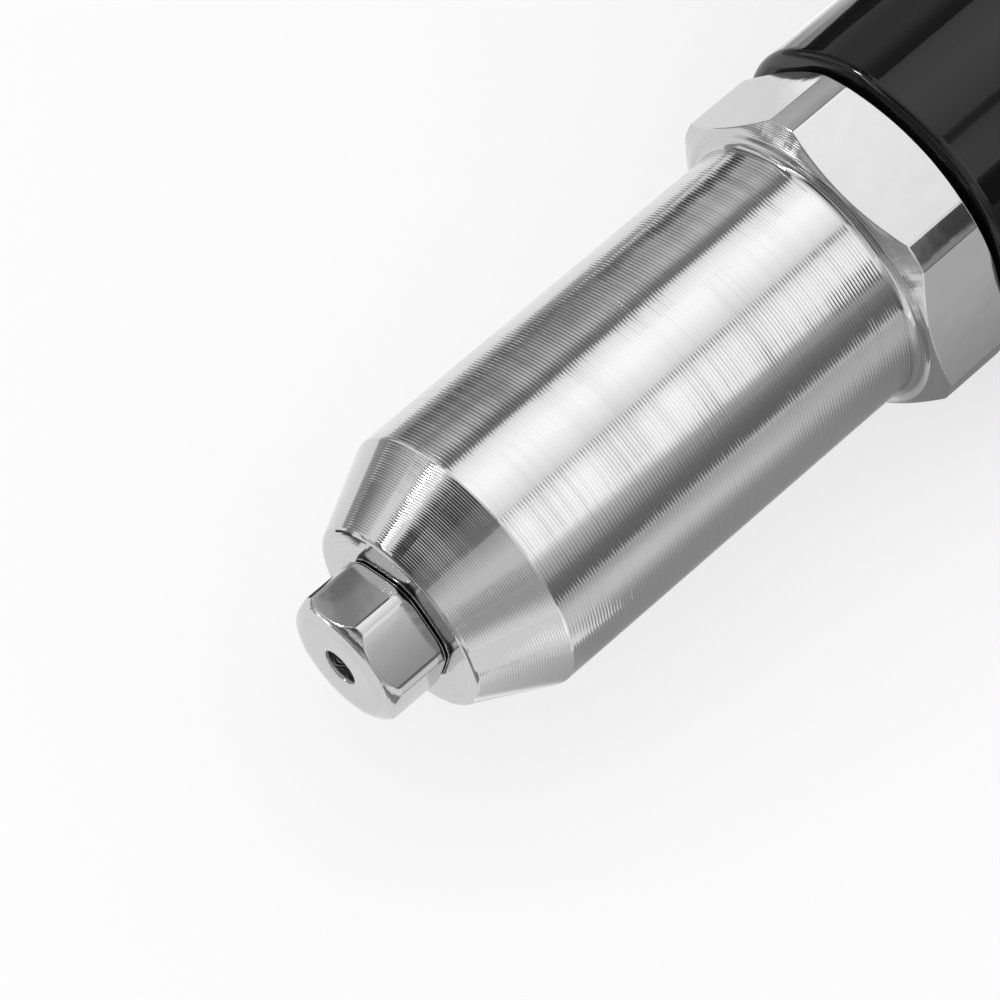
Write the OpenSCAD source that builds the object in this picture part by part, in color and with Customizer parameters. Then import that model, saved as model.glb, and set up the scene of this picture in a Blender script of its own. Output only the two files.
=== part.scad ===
// Rivet drill adapter: a blind rivet puller that a cordless drill drives.
// The tool lies along X with its nose towards +X. The origin is the middle of the
// drive shank's end face, and the side handle points towards -Y.
// Every piece on the tool's axis is drawn with z as the distance behind the front
// face of the sleeve, and along() lays it down. The moving pieces are drawn at home,
// with the jaws forward and held open by the nosepiece.

/* [Nosepiece] */
// Width of the nosepiece across its flats
nose_af = 10.6; // [9.6:0.1:11.4]
// Diameter of the round bar that is left at the nosepiece's six corners
nose_bar_d = 12.1; // [11.6:0.05:12.2]
// Length of the nosepiece in front of the sleeve
nose_l = 6.1; // [5:0.1:10]
// Diameter of the flat front face that presses on the rivet's flange
nose_face_d = 8.8; // [7.4:0.1:9.2]
// Diameter of the hole for the rivet's mandrel
nose_bore_d = 3.2; // [2.2:0.1:3.4]
// Height of the nosepiece's thread above its tail
nose_thread_step = 0.7; // [0.5:0.1:0.8]
// Room between the nosepiece's tail and the rim of the closed jaws
nose_tail_room = 0.7; // [0.6:0.1:1]
// Chamfer round the back of the nosepiece's hexagon
nose_back_chamfer = 0.35; // [0.2:0.05:0.6]
// Angle that the nosepiece stands at once it is tight
nose_clock = 35.2; // [0:0.1:60]

/* [Front sleeve] */
// Diameter of the turned sleeve
sleeve_d = 24; // [22:0.1:27]
// Thickness of the sleeve's wall
sleeve_wall = 3; // [2.2:0.1:3.4]
// Height of the cone behind the sleeve's front face
cone_h = 3.5; // [2:0.1:4]
// Length of the cone behind the sleeve's front face
cone_l = 7; // [5:0.1:9]
// Length of the sleeve from its front face to the hexagon
sleeve_l = 45; // [43:0.5:55]
// Thickness of the wall that the nosepiece screws into
front_wall = 8; // [7:0.1:10]
// Radius of the fillet between the sleeve and the hexagon
fillet_r = 0.8; // [0.4:0.1:1]
// Width of the flat ring between the fillet and the hexagon's chamfer
rim_w = 0.4; // [0.2:0.1:0.5]
// Thickness of the hexagon
flange_l = 8; // [6:0.1:11]
// Height of the hexagon's flats above the sleeve
flange_step = 1.5; // [1.4:0.1:1.8]
// Height of the hexagon's turned corners above its flats
corner_step = 1.4; // [1.2:0.1:1.5]
// Angle that the hexagon stands at once the sleeve is tight
flange_clock = 10.95; // [0:0.05:60]
// Angle of the hexagon's chamfers to its end faces
hex_chamfer_a = 30; // [20:1:35]
// Length of the threaded spigot
spigot_l = 9; // [7:0.1:12]

/* [Body] */
// Height of the black cover above the hexagon's corners
cover_step = 0.1; // [0:0.1:0.6]
// Thickness of the black cover
cover_wall = 2; // [1.9:0.1:2.4]
// Rounding of the cover's two ends
cover_lip_r = 0.9; // [0.4:0.1:0.9]
// Thickness of the barrel's wall round its sliding bore
barrel_wall = 3; // [2.6:0.1:3.4]
// Thickness of the barrel's wall round the sleeve's spigot and round the end cap's thread
socket_wall = 1.5; // [1.3:0.1:1.7]
// Thickness of the barrel's web, which takes the pulling force
web_l = 12; // [12:0.1:16]
// Width of the two keyways in the barrel
key_w = 4; // [3:0.1:5]
// Depth of the keyways below the bore
key_h = 1.3; // [1:0.1:1.6]

/* [Jaws] */
// Thickness of the jaw case's wall behind its taper
case_wall = 1.4; // [1.2:0.1:1.6]
// Length of the jaw case
case_l = 28; // [27:0.1:30]
// Room in front of the jaw case at home
case_gap = 2; // [1:0.1:2.4]
// Length of a jaw
jaw_l = 14.5; // [12:0.1:14.6]
// Angle of the jaws' cone to the tool's axis
jaw_a = 10; // [8:0.5:10]
// Way that a jaw slides along its cone from open to closed
jaw_travel = 2.5; // [1.5:0.1:2.6]
// Diameter of the mandrel that the closed jaws hold
mandrel_d = 2.9; // [1.8:0.1:3]
// Gap between the closed jaws
jaw_gap = 0.6; // [0.3:0.1:1]
// Distance between two teeth
tooth_pitch = 1; // [0.7:0.05:1.5]
// Depth of a tooth
tooth_h = 0.35; // [0.2:0.05:0.5]
// Thickness of the draw tube's wall round the pusher's stem
pocket_wall = 2.6; // [2.3:0.1:2.9]
// Length of the pusher's stem
pusher_stem_l = 5.5; // [4:0.1:6.5]
// Thickness of the wire of the pusher's spring
spring_wire_d = 0.9; // [0.6:0.1:1]
// Turns of the pusher's spring
spring_turns = 5; // [4:0.5:5.5]
// Length of the pusher's spring at home
spring_l = 7.5; // [7:0.1:9]

/* [Drive] */
// Way that the drive nut goes in one turn of the lead screw
screw_lead = 3; // [2:0.5:4]
// Turns of the lead screw for the whole stroke
screw_turns = 4.5; // [3:0.5:6]
// Length of the drive nut
nut_l = 13.5; // [11:0.1:16]
// Depth of the socket that joins the draw tube to the drive nut
nut_socket_l = 4; // [3:0.1:6]
// Thickness of the draw tube's wall round the lead screw
tube_wall = 1.9; // [1.7:0.1:2.3]
// Thickness of the lock nut behind the jaw case
locknut_t = 2.8; // [2:0.1:4]
// Height of the thrust bearing's edge above the lead screw's collar
collar_room = 0.7; // [0.5:0.1:1.5]
// Thickness of the lead screw's collar
collar_l = 3.5; // [2.5:0.1:5]
// Height of the lead screw above the drive shank's flats
shank_step = 1; // [1:0.1:1.5]
// Length of the drive shank
shank_l = 25; // [18:0.5:35]

/* [Bearing] */
// Thickness of the barrel's wall round the thrust bearing
thrust_wall = 2.5; // [2.2:0.1:2.8]
// Height of the thrust bearing
thrust_h = 5; // [4.8:0.1:5.4]
// Thickness of each bearing washer
washer_t = 1.4; // [1.2:0.1:1.5]
// Diameter of the balls
ball_d = 3; // [2.8:0.1:3.2]
// Number of balls
balls = 12; // [8:1:13]
// Thickness of the rear bush's wall
bush_wall = 2; // [1.5:0.1:2.5]
// Thickness of the rear bush's flange
bush_flange_t = 1.2; // [1:0.1:2]

/* [End cap] */
// Length of the end cap's thread
cap_thread_l = 6; // [5:0.1:8]
// Thickness of the end cap's head
cap_head_l = 4; // [3.4:0.1:6]
// Diameter of the two holes for a pin spanner
cap_hole_d = 3.5; // [2.5:0.1:4]
// Depth of the holes for a pin spanner
cap_hole_l = 2.5; // [1.5:0.1:3]
// Thickness of the retaining ring
clip_t = 1; // [0.8:0.1:1.2]

/* [Side handle] */
// Diameter of the handle's stud
stud_d = 8; // [6:0.1:8.4]
// Diameter of the socket's stem, which is fast in the barrel's web
socket_stem_d = 11; // [10.4:0.1:11.4]
// Diameter of the socket's collar
socket_d = 16; // [14:0.1:18]
// Height of the socket's collar above the cover
socket_h = 2.5; // [1:0.1:5]
// Width of the jam nut across its flats
jam_af = 13; // [12:0.1:15]
// Thickness of the jam nut
jam_t = 5; // [4:0.1:6.5]
// Length of stud that shows between the jam nut and the grip
stud_free_l = 4; // [2:0.5:12]
// Length of the grip
grip_l = 92; // [75:1:100]
// Diameter of the grip at its middle
grip_d = 25; // [22:0.5:28]
// Height of the guard at the grip's inner end above the grip's middle
guard_step = 1.5; // [0:0.1:3]
// Height of the knob at the grip's outer end above the grip's middle
knob_step = 2.5; // [1:0.1:3]
// Number of grooves round the grip
grip_grooves = 7; // [3:1:9]

/* [Hidden] */
$fn = 96;
eps = 0.01;

// Clearances on the radius
thread_gap = 0.03;
thread_end = 0.4;
run_gap = 0.05;
open_gap = 0.5;
seat_gap = 0.1;
slide_gap = 0.07;
jaw_room = 0.109;
pusher_room = 0.8;
wedge_step = 0.9;
spring_room = 0.3;
washer_room = 0.4;
web_room = 0.3;

// Chamfers and small cuts
fine_chamfer = 0.3;
edge_chamfer = 0.5;
lead_chamfer = 0.8;
case_nose = 1.5;
cap_edge = 1.2;
relief_l = 1;
relief_h = 0.5;
over = 1;

// Diameters, all counted from the sleeve's
sleeve_face_d = sleeve_d - 2 * cone_h;
cavity_d = sleeve_d - 2 * sleeve_wall;
flange_af = sleeve_d + 2 * flange_step;
bar_d = flange_af + 2 * corner_step;
cover_d = bar_d + 2 * cover_step;
barrel_d = cover_d - 2 * cover_wall;
bore_d = barrel_d - 2 * barrel_wall;
spigot_d = barrel_d - 2 * socket_wall;
cap_thread_d = spigot_d - 2 * seat_gap;
thrust_d = barrel_d - 2 * thrust_wall;
case_d = cavity_d - 2 * open_gap;
case_bore_d = case_d - 2 * case_wall;
case_flat_w = case_d - 1.6;
tube_thread_d = case_bore_d;
tube_d = case_d - 2 * seat_gap;
hollow_d = tube_d - 2 * tube_wall;
screw_d = hollow_d - 2 * open_gap;
shank_af = screw_d - 2 * shank_step;
collar_d = thrust_d - 2 * collar_room;
bush_d = screw_d + 2 * bush_wall;

// Stations behind the sleeve's front face
z_body = sleeve_l + flange_l;
z_bore = z_body + spigot_l;
z_nut = z_bore + open_gap;
z_nut_end = z_nut + nut_l;
stroke = screw_lead * screw_turns;
stroke_spare = 1.5;
z_web = z_nut_end + stroke + stroke_spare;
z_seat = z_web + web_l;
z_collar = z_seat + thrust_h;
z_bush = z_collar + collar_l + 2 * seat_gap;
z_cap_front = z_bush + bush_flange_t;
z_cap = z_cap_front + cap_thread_l;
z_cap_end = z_cap + cap_head_l;
z_clip = z_cap_end + 3 * seat_gap;
z_hex = z_clip + clip_t + over;
z_end = z_hex + shank_l;

// Jaw case, jaws and pusher at home
jaw_inset = 0.8;
z_case = front_wall + case_gap;
z_case_end = z_case + case_l;
jaw_back = jaw_travel * cos(jaw_a);
jaw_out = jaw_travel * sin(jaw_a);
jaw_rear_d = case_bore_d - 2 * (jaw_out + jaw_room);
jaw_front_d = jaw_rear_d - 2 * jaw_l * tan(jaw_a);
nose_tail_d = jaw_front_d - 2 * nose_tail_room;
nose_thread_d = nose_tail_d + 2 * nose_thread_step;
pusher_flange_d = case_bore_d - 2 * pusher_room;
wedge_d = pusher_flange_d - 2 * wedge_step;
pusher_stem_d = tube_thread_d - 2 * pocket_wall - 2 * seat_gap;
z_jaw_closed = z_case + jaw_inset;
z_jaw = z_jaw_closed + jaw_back;
z_jaw_end = z_jaw + jaw_l;
z_tail = z_jaw - seat_gap;
wedge_a = 45;
wedge_tip_d = mandrel_d + 2.3;
z_wedge_apex = z_jaw_end - wedge_d / 2 / tan(wedge_a);
mandrel_way_d = 3.8;
z_pusher = z_jaw_end + pusher_room;
pusher_flange_t = 1.6;
z_stem = z_pusher + pusher_flange_t;
z_stem_end = z_stem + pusher_stem_l;
z_pocket = z_stem_end + spring_l;
pocket_d = pusher_stem_d + 2 * slide_gap;

// Draw tube and lead screw
z_tube = z_stem + over;
z_shoulder = z_case_end + locknut_t + 2 * seat_gap;
z_hollow = z_pocket + 2;
z_tip = z_hollow + stroke + stroke_spare;
z_tube_end = z_nut + nut_socket_l;
nut_d = bore_d - 2 * run_gap;
key_d = bore_d + 2 * key_h;
web_hole_d = screw_d + 2 * web_room;

// Bearing and end cap
ball_ring_d = (thrust_d + screw_d) / 2;
ball_gap = 0.03;
cage_t = 1.5;
cap_spanner_d = (cover_d + bush_d) / 2;
clip_groove_d = screw_d - 2 * relief_h;

// Side handle, with heights above the tool's axis
z_handle = z_web + web_l / 2;
socket_sink = 0.8;
socket_floor = 1.2;
socket_seat = barrel_d / 2 - socket_sink;
socket_foot = web_hole_d / 2 + socket_floor;
socket_top = cover_d / 2 + socket_h;
h_jam = socket_top;
h_grip = h_jam + jam_t + stud_free_l;
h_grip_end = h_grip + grip_l;
guard_d = grip_d + 2 * guard_step;
guard_t = 4;
knob_d = grip_d + 2 * knob_step;
knob_t = 8;
belly_r = 220;
groove_r = 1.1;
groove_h = 0.66;

// Lays a piece down along the tool's axis
module along() {
    translate([z_end, 0, 0])
        rotate([0, -90, 0])
            children();
}

// Puts a piece on the side handle's axis, with z as the height above the tool's axis
module on_handle() {
    translate([z_end - z_handle, 0, 0])
        rotate([90, 0, 0])
            children();
}

// A plain length of round bar from z0 to z1
module bar(z0, z1, d) {
    translate([0, 0, z0])
        cylinder(h = z1 - z0, d = d);
}

// A round bar with a chamfer at one or both ends
module chamfered_bar(z0, z1, d, front = 0, back = 0) {
    r = d / 2;
    rotate_extrude()
        polygon([[0, z0], [r - front, z0], [r, z0 + front], [r, z1 - back], [r - back, z1], [0, z1]]);
}

// A ring from z0 to z1
module ring(z0, z1, d_out, d_in) {
    difference() {
        bar(z0, z1, d_out);
        bar(z0 - eps, z1 + eps, d_in);
    }
}

// A hexagonal prism whose flats face the angle zero and every 60 degrees
module hex_bar(z0, z1, af) {
    translate([0, 0, z0])
        rotate([0, 0, 30])
            cylinder(h = z1 - z0, d = af / cos(30), $fn = 6);
}

// The envelope that chamfers a hexagon at both ends
module hex_envelope(z0, z1, d_max, front_face_d, back_face_d, a) {
    front = (d_max - front_face_d) / 2 * tan(a);
    back = (d_max - back_face_d) / 2 * tan(a);
    rotate_extrude()
        polygon([[0, z0], [front_face_d / 2, z0], [d_max / 2, z0 + front],
            [d_max / 2, z1 - back], [back_face_d / 2, z1], [0, z1]]);
}

// The flat outline of a disc with a fully rounded rim
module rim_outline(h0, t, r) {
    translate([0, h0])
        square([r - t / 2, t]);
    translate([r - t / 2, h0 + t / 2])
        circle(t / 2);
}

module nosepiece() {
    back_d = nose_af - 2 * nose_back_chamfer;
    color("silver")
        along()
            difference() {
                union() {
                    intersection() {
                        rotate([0, 0, nose_clock])
                            hex_bar(-nose_l, 0, nose_af);
                        hex_envelope(-nose_l, 0, nose_bar_d, nose_face_d, back_d, hex_chamfer_a);
                    }
                    bar(-eps, front_wall - seat_gap, nose_thread_d);
                    chamfered_bar(0, z_tail, nose_tail_d, 0, lead_chamfer);
                }
                bar(-nose_l - eps, z_tail + eps, nose_bore_d);
            }
}

module front_sleeve() {
    rim_r = sleeve_d / 2 + fillet_r + rim_w;
    r = sleeve_d / 2;
    color("gainsboro")
        along()
            difference() {
                union() {
                    rotate_extrude() {
                        polygon([[0, 0], [sleeve_face_d / 2, 0], [r, cone_l], [r, sleeve_l + eps],
                            [0, sleeve_l + eps]]);
                        difference() {
                            translate([r - eps, sleeve_l - fillet_r])
                                square([fillet_r + eps, fillet_r + eps]);
                            translate([r + fillet_r, sleeve_l - fillet_r])
                                circle(fillet_r);
                        }
                    }
                    intersection() {
                        rotate([0, 0, flange_clock])
                            hex_bar(sleeve_l, z_body, flange_af);
                        hex_envelope(sleeve_l, z_body, bar_d, 2 * rim_r, 2 * rim_r, hex_chamfer_a);
                    }
                    chamfered_bar(z_body - eps, z_bore, spigot_d, 0, edge_chamfer);
                }
                bar(-eps, front_wall + eps, nose_thread_d + 2 * thread_gap);
                bar(front_wall, z_bore + eps, cavity_d);
                ring(z_body, z_body + relief_l, spigot_d + over, spigot_d - 2 * relief_h);
            }
}

module body_cover() {
    wall = (cover_d - barrel_d) / 2 - run_gap;
    r = cover_lip_r;
    color([0.07, 0.07, 0.08])
        difference() {
            along()
                rotate_extrude()
                    translate([barrel_d / 2 + run_gap, 0]) {
                        translate([0, z_body + seat_gap])
                            square([wall - r, z_cap - z_body - 2 * seat_gap]);
                        translate([0, z_body + seat_gap + r])
                            square([wall, z_cap - z_body - 2 * seat_gap - 2 * r]);
                        for (z = [z_body + seat_gap + r, z_cap - seat_gap - r])
                            translate([wall - r, z])
                                circle(r);
                    }
            on_handle()
                bar(socket_foot, cover_d, socket_d + 2 * seat_gap);
        }
}

module barrel() {
    color("slategray")
        difference() {
            along()
                difference() {
                    chamfered_bar(z_body, z_cap, barrel_d, edge_chamfer, edge_chamfer);
                    bar(z_body - eps, z_bore + thread_end, spigot_d + 2 * thread_gap);
                    bar(z_bore, z_web, bore_d);
                    for (k = [0, 1])
                        rotate([0, 0, 180 * k])
                            intersection() {
                                translate([0, -key_w / 2, z_bore])
                                    cube([key_d, key_w, z_web - z_bore]);
                                bar(z_bore, z_web, key_d);
                            }
                    bar(z_web - eps, z_seat + eps, web_hole_d);
                    bar(z_seat, z_cap, thrust_d + 2 * thread_gap);
                    bar(z_cap_front - thread_end, z_cap + eps, cap_thread_d + 2 * thread_gap);
                }
            on_handle() {
                bar(socket_foot - seat_gap, cover_d, socket_stem_d + 2 * thread_gap);
                bar(socket_seat, cover_d, socket_d + 2 * seat_gap);
            }
        }
}

module jaw_case() {
    bore_front = jaw_front_d / 2 + run_gap;
    taper_end = (case_bore_d / 2 - bore_front) / tan(jaw_a) + z_jaw_closed;
    taper_front_r = bore_front - (z_jaw_closed - z_case + over) * tan(jaw_a);
    flat_l = 7;
    color("dimgray")
        along()
            difference() {
                chamfered_bar(z_case, z_case_end, case_d, case_nose, fine_chamfer);
                translate([0, 0, z_case - over])
                    cylinder(h = taper_end - z_case + over, r1 = taper_front_r, r2 = case_bore_d / 2);
                bar(taper_end - eps, z_case_end + eps, case_bore_d);
                for (k = [0, 1])
                    rotate([0, 0, 180 * k])
                        translate([case_flat_w / 2, -case_d / 2, z_case_end - flat_l])
                            cube([case_d, case_d, flat_l - over]);
            }
}

// The row of teeth inside a jaw, as the round tool that would cut them
module tooth_cutter(z0, z1) {
    tip = mandrel_d / 2;
    root = tip + tooth_h;
    land = 0.12 * tooth_pitch;
    count = floor((z1 - z0) / tooth_pitch);
    teeth = [for (i = [0:count - 1]) each [
        [tip, z0 + i * tooth_pitch],
        [tip, z0 + i * tooth_pitch + land],
        [root, z0 + i * tooth_pitch + 2 * land],
        [root, z0 + i * tooth_pitch + 3 * land]]];
    rotate_extrude()
        polygon(concat([[0, z0]], teeth, [[tip, z0 + count * tooth_pitch], [tip, z1], [0, z1]]));
}

// One toothed jaw, a third of a cone, moved back and out to its open place at home
module jaw(k) {
    half_gap = jaw_gap / 2 / sin(60);
    far = case_d;
    color("darkgray")
        along()
            rotate([0, 0, 120 * k])
                difference() {
                    translate([jaw_out, 0, jaw_back])
                        difference() {
                            intersection() {
                                translate([0, 0, z_jaw_closed])
                                    cylinder(h = jaw_l, d1 = jaw_front_d, d2 = jaw_rear_d);
                                translate([0, 0, z_jaw_closed - over])
                                    linear_extrude(jaw_l + 2 * over)
                                        polygon([[half_gap, 0],
                                            [half_gap + far * cos(60), far * sin(60)],
                                            [half_gap + far * cos(60), -far * sin(60)]]);
                            }
                            tooth_cutter(z_jaw_closed - tooth_pitch / 2, z_jaw_closed + jaw_l + over);
                        }
                    translate([0, 0, z_wedge_apex])
                        cylinder(h = case_d, r1 = 0, r2 = case_d * tan(wedge_a));
                }
}

module jaw_1() { jaw(0); }
module jaw_2() { jaw(1); }
module jaw_3() { jaw(2); }

module jaw_pusher() {
    z_front = z_wedge_apex + seat_gap;
    tip_r = wedge_tip_d / 2;
    neck_r = wedge_d / 2 - seat_gap;
    flange_r = pusher_flange_d / 2;
    stem_r = pusher_stem_d / 2;
    way_r = mandrel_way_d / 2;
    color("lightsteelblue")
        along()
            rotate_extrude()
                polygon([[way_r, z_front + tip_r / tan(wedge_a)], [tip_r, z_front + tip_r / tan(wedge_a)],
                    [neck_r, z_front + neck_r / tan(wedge_a)], [neck_r, z_pusher],
                    [flange_r, z_pusher], [flange_r, z_stem], [stem_r, z_stem], [stem_r, z_stem_end],
                    [way_r, z_stem_end]]);
}

// A round wire wound on a helix from z0 to z1, as one closed skin
module coil(z0, z1, turns, mean_d, wire_d) {
    sides = 8;
    steps = 16;
    count = round(turns * steps);
    rise = (z1 - z0 - wire_d) / count;
    lean = atan(rise * steps / (PI * mean_d));
    points = [for (i = [0:count]) let (a = 360 * i / steps) for (j = [0:sides - 1])
        let (b = 360 * j / sides, out = wire_d / 2 * cos(b), up = wire_d / 2 * sin(b))
        [(mean_d / 2 + out) * cos(a) + up * sin(lean) * sin(a),
            (mean_d / 2 + out) * sin(a) - up * sin(lean) * cos(a),
            z0 + wire_d / 2 + i * rise + up * cos(lean)]];
    skin = [for (i = [0:count - 1]) for (j = [0:sides - 1])
        let (p = i * sides + j, q = i * sides + (j + 1) % sides)
        [p, p + sides, q + sides, q]];
    start = [for (j = [0:sides - 1]) j];
    finish = [for (j = [0:sides - 1]) count * sides + sides - 1 - j];
    polyhedron(points, concat(skin, [start, finish]));
}

module pusher_spring() {
    color("gray")
        along()
            coil(z_stem_end, z_pocket, spring_turns, pocket_d - spring_wire_d - 2 * spring_room,
                spring_wire_d);
}

module case_locknut() {
    color("dimgray")
        along()
            difference() {
                intersection() {
                    chamfered_bar(z_case_end, z_case_end + locknut_t, case_d, fine_chamfer, fine_chamfer);
                    translate([0, 0, z_case_end + locknut_t / 2])
                        cube([case_flat_w, case_d, locknut_t + over], center = true);
                }
                bar(z_case_end - eps, z_case_end + locknut_t + eps, tube_thread_d);
            }
}

module draw_tube() {
    color("lightslategray")
        along()
            difference() {
                union() {
                    chamfered_bar(z_tube, z_shoulder + eps, tube_thread_d - 2 * thread_gap, edge_chamfer, 0);
                    chamfered_bar(z_shoulder, z_tube_end, tube_d, fine_chamfer, fine_chamfer);
                }
                bar(z_tube - eps, z_pocket, pocket_d);
                bar(z_pocket - eps, z_hollow + eps, mandrel_way_d);
                bar(z_hollow, z_tube_end + eps, hollow_d);
            }
}

module drive_nut() {
    lug_w = key_w - 2 * run_gap;
    lug_d = key_d - 4 * run_gap;
    color("goldenrod")
        along()
            difference() {
                union() {
                    chamfered_bar(z_nut, z_nut_end, nut_d, edge_chamfer, edge_chamfer);
                    intersection() {
                        translate([0, 0, z_nut + nut_l / 2])
                            cube([lug_d, lug_w, nut_l - 2 * over], center = true);
                        bar(z_nut, z_nut_end, lug_d);
                    }
                }
                bar(z_nut - eps, z_tube_end, tube_d + 2 * thread_gap);
                bar(z_nut, z_nut_end + eps, screw_d + 2 * run_gap);
            }
}

module lead_screw() {
    corner_d = shank_af / cos(30);
    color("silver")
        along()
            difference() {
                union() {
                    chamfered_bar(z_tip, z_hex, screw_d, lead_chamfer, fine_chamfer);
                    chamfered_bar(z_collar, z_collar + collar_l, collar_d, fine_chamfer, fine_chamfer);
                    intersection() {
                        hex_bar(z_hex - over, z_end, shank_af);
                        hex_envelope(z_hex - over, z_end, corner_d, corner_d, shank_af - lead_chamfer,
                            wedge_a);
                    }
                }
                ring(z_clip - run_gap, z_clip + clip_t + run_gap, screw_d + over, clip_groove_d);
            }
}

// The groove that the balls run in, as a round ring to cut away
module ball_track(r) {
    rotate_extrude()
        translate([ball_ring_d / 2, z_seat + thrust_h / 2])
            circle(r);
}

module housing_washer() {
    color("silver")
        along()
            difference() {
                ring(z_seat, z_seat + washer_t, thrust_d, screw_d + 2 * washer_room);
                ball_track(ball_d / 2 + ball_gap);
            }
}

module shaft_washer() {
    color("silver")
        along()
            difference() {
                ring(z_collar - washer_t, z_collar, thrust_d - 2 * washer_room, screw_d + 2 * run_gap);
                ball_track(ball_d / 2 + ball_gap);
            }
}

module bearing_cage() {
    z_mid = z_seat + thrust_h / 2;
    color("darkgoldenrod")
        along()
            difference() {
                ring(z_mid - cage_t / 2, z_mid + cage_t / 2, thrust_d - 2 * washer_room,
                    screw_d + 2 * washer_room);
                for (k = [0:balls - 1])
                    rotate([0, 0, 360 / balls * k])
                        translate([ball_ring_d / 2, 0, 0])
                            bar(z_mid - cage_t, z_mid + cage_t, ball_d + 2 * ball_gap);
            }
}

module bearing_balls() {
    color("white")
        along()
            for (k = [0:balls - 1])
                rotate([0, 0, 360 / balls * k])
                    translate([ball_ring_d / 2, 0, z_seat + thrust_h / 2])
                        sphere(d = ball_d, $fn = 48);
}

module rear_bush() {
    color("goldenrod")
        along()
            difference() {
                union() {
                    bar(z_bush, z_cap_front, collar_d - 2 * fine_chamfer);
                    chamfered_bar(z_bush, z_cap_end - thread_end, bush_d, 0, fine_chamfer);
                }
                bar(z_bush - eps, z_cap_end, screw_d + 2 * run_gap);
            }
}

module end_cap() {
    color([0.09, 0.09, 0.1])
        along()
            difference() {
                union() {
                    chamfered_bar(z_cap_front, z_cap + eps, cap_thread_d, edge_chamfer, 0);
                    chamfered_bar(z_cap, z_cap_end, cover_d, fine_chamfer, cap_edge);
                }
                bar(z_cap_front - eps, z_cap_end + eps, bush_d + 2 * thread_gap);
                for (k = [0, 1])
                    rotate([0, 0, 180 * k])
                        translate([0, cap_spanner_d / 2, 0])
                            bar(z_cap_end - cap_hole_l, z_cap_end + eps, cap_hole_d);
            }
}

module retaining_ring() {
    inner_r = clip_groove_d / 2 + run_gap;
    outer_r = screw_d / 2 + 1.6;
    ear_r = 1.5;
    ear_hole_r = 0.6;
    ear_a = 20;
    gap_a = 9;
    color("dimgray")
        along()
            translate([0, 0, z_clip])
                linear_extrude(clip_t)
                    difference() {
                        union() {
                            circle(outer_r);
                            for (a = [-ear_a, ear_a])
                                rotate(a)
                                    translate([screw_d / 2 + ear_r, 0])
                                        circle(ear_r, $fn = 32);
                        }
                        circle(inner_r);
                        polygon([[0, 0], [case_d, case_d * tan(gap_a)], [case_d, -case_d * tan(gap_a)]]);
                        for (a = [-ear_a, ear_a])
                            rotate(a)
                                translate([screw_d / 2 + ear_r, 0])
                                    circle(ear_hole_r, $fn = 24);
                    }
}

module handle_socket() {
    color("silver")
        on_handle()
            difference() {
                union() {
                    bar(socket_foot, socket_seat + eps, socket_stem_d);
                    chamfered_bar(socket_seat, socket_top, socket_d, 0, edge_chamfer);
                }
                bar(socket_foot - eps, socket_top + eps, stud_d + 2 * thread_gap);
            }
}

module handle_stud() {
    color("silver")
        on_handle()
            chamfered_bar(socket_foot + 2 * seat_gap, h_grip + grip_l / 3, stud_d, lead_chamfer,
                lead_chamfer);
}

module handle_jam_nut() {
    corner_d = jam_af / cos(30);
    face_d = jam_af - 2 * fine_chamfer;
    color("silver")
        on_handle()
            difference() {
                intersection() {
                    hex_bar(h_jam, h_jam + jam_t, jam_af);
                    hex_envelope(h_jam, h_jam + jam_t, corner_d, face_d, face_d, hex_chamfer_a);
                }
                bar(h_jam - eps, h_jam + jam_t + eps, stud_d + 2 * thread_gap);
            }
}

module handle_grip() {
    h_mid = (h_grip + h_grip_end) / 2;
    groove_step = (grip_l - guard_t - knob_t) / (grip_grooves + 3);
    color([0.1, 0.1, 0.11])
        on_handle()
            difference() {
                rotate_extrude()
                    difference() {
                        union() {
                            intersection() {
                                translate([0, h_grip])
                                    square([cover_d, grip_l - knob_t / 2]);
                                translate([grip_d / 2 - belly_r, h_mid])
                                    circle(belly_r, $fn = 720);
                            }
                            rim_outline(h_grip, guard_t, guard_d / 2);
                            rim_outline(h_grip_end - knob_t, knob_t, knob_d / 2);
                        }
                        for (i = [0:grip_grooves - 1])
                            let (dh = (i - (grip_grooves - 1) / 2) * groove_step)
                                translate([grip_d / 2 - belly_r + sqrt(belly_r * belly_r - dh * dh)
                                    + groove_r - groove_h, h_mid + dh])
                                    circle(groove_r, $fn = 32);
                        translate([-cover_d, h_grip - over])
                            square([cover_d, grip_l + 2 * over]);
                    }
                bar(h_grip - eps, h_grip + grip_l / 3 + over, stud_d + 2 * thread_gap);
            }
}

nosepiece();
front_sleeve();
body_cover();
barrel();
jaw_case();
jaw_1();
jaw_2();
jaw_3();
jaw_pusher();
pusher_spring();
case_locknut();
draw_tube();
drive_nut();
lead_screw();
housing_washer();
bearing_cage();
bearing_balls();
shaft_washer();
rear_bush();
end_cap();
retaining_ring();
handle_socket();
handle_stud();
handle_jam_nut();
handle_grip();
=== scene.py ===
# %% [markdown]
# A rivet drill adapter, dressed for its portrait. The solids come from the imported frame: they say
# where every piece is and how it moves. This script gives the steel its turning marks, the cover its
# enamel and the grip its grain. It builds the sleeve, the nosepiece, the grip and the jam nut again
# with softened edges, and the stud with its thread. A real edge is never a knife, and a thin rounded
# edge is what catches the light on metal.

# %% Load the frame
import math
from functools import partial

import bmesh
import bpy
from mathutils import Matrix, Vector


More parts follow.
